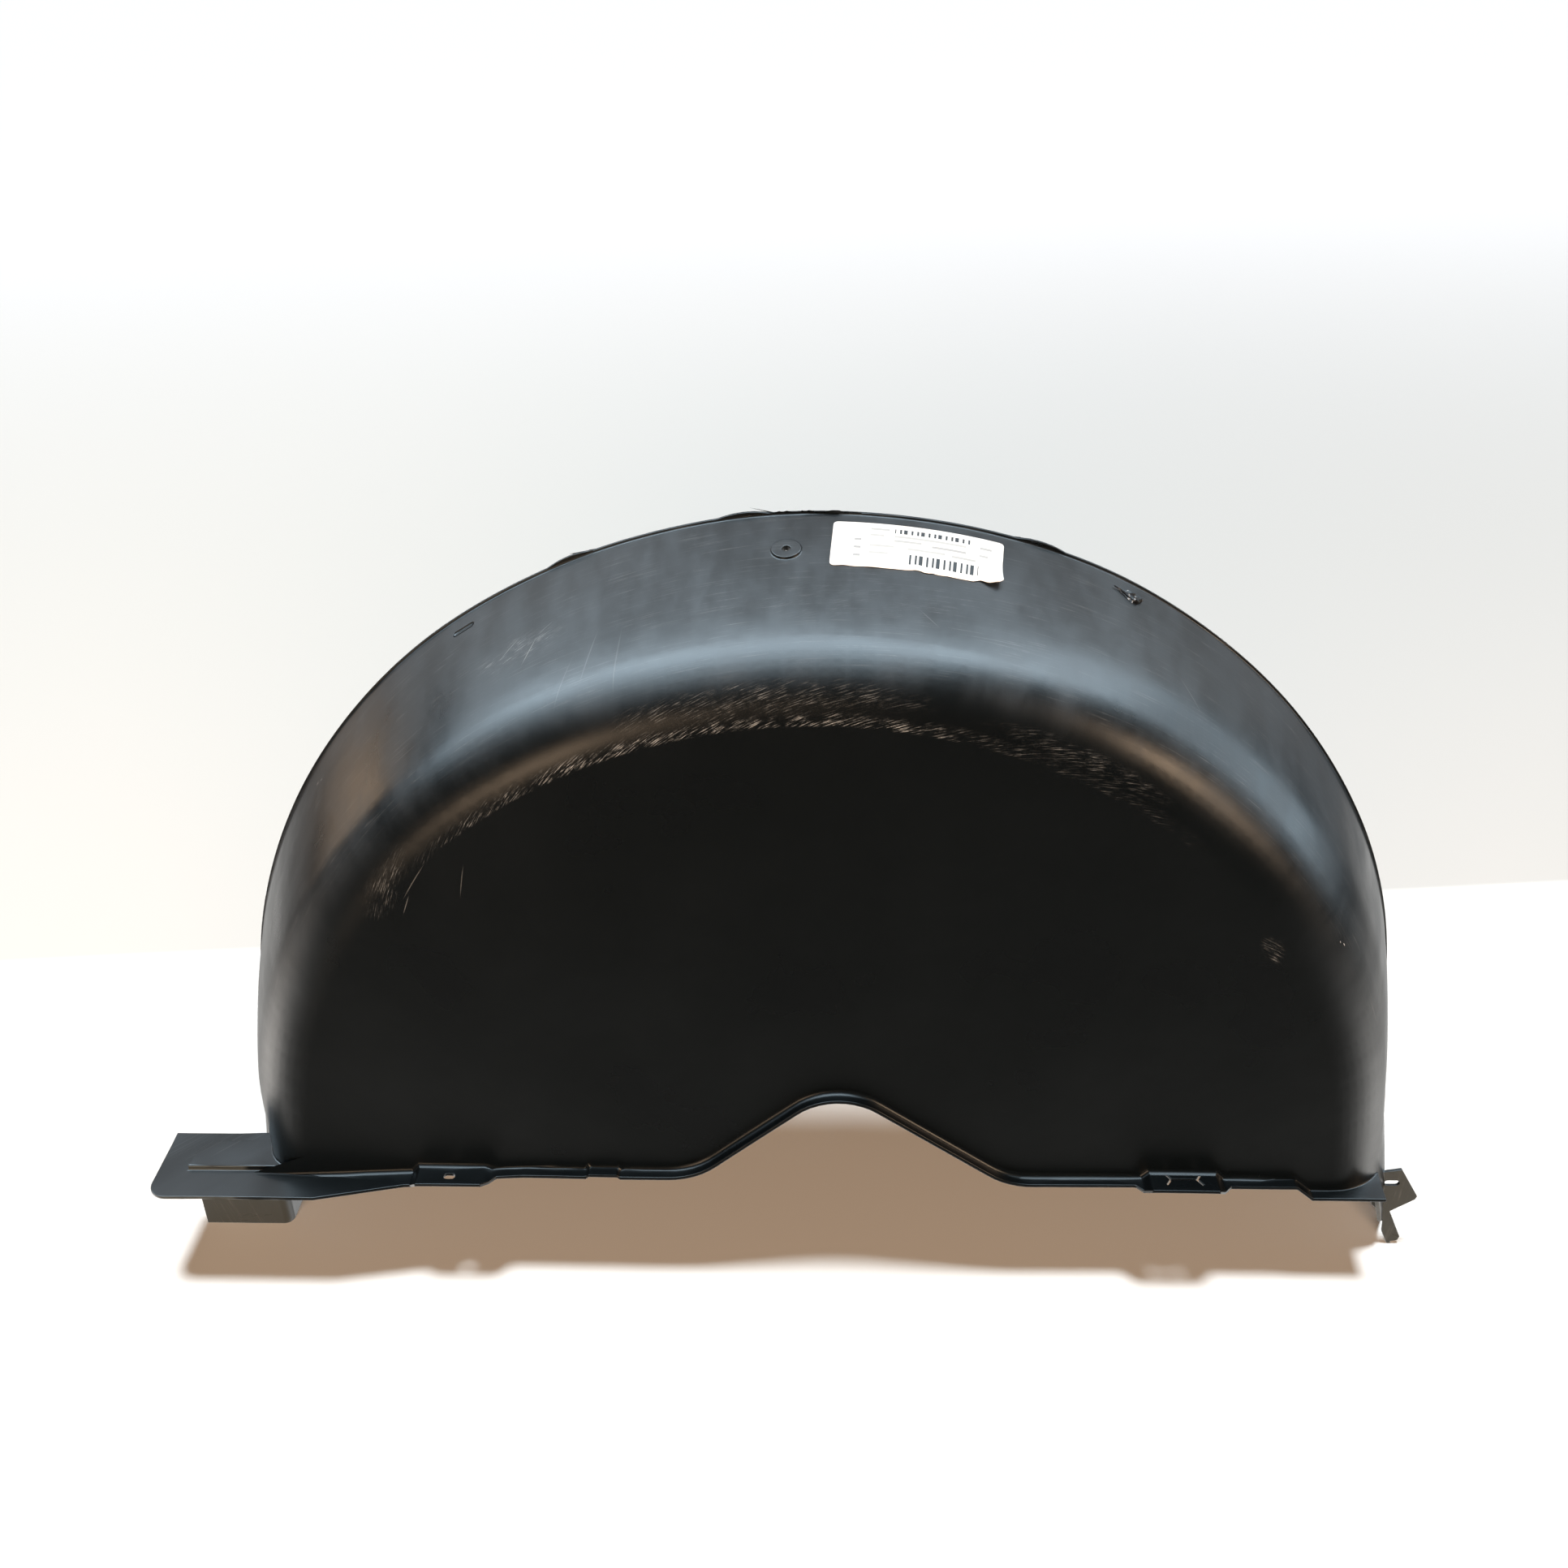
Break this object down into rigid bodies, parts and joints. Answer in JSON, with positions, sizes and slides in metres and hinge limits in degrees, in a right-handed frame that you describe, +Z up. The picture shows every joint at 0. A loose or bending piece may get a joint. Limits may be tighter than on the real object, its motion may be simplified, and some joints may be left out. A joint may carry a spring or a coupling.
{
  "type": "wheel arch liner",
  "caption": "Moulded wheel arch liner with a flat side wall, round shoulder, flared crown, wave-cut lower lip, tongue with foot, and end bracket.",
  "frame": {"origin": "on the floor under the middle of the part's box", "axes": "+Z up from the floor; +X along the lower edge towards the bracket end; +Y from the side wall towards the open far rim"},
  "size_m": [0.929, 0.169, 0.5348],
  "materials": {
    "black_plastic": "satin moulded polypropylene with light scuffs",
    "paper": "white paper",
    "clip_plastic": "broken black nylon"
  },
  "bodies": {
    "root": {"liner": "black_plastic", "paper_label": "paper", "clip_stub": "clip_plastic"}
  },
  "joints": []
}
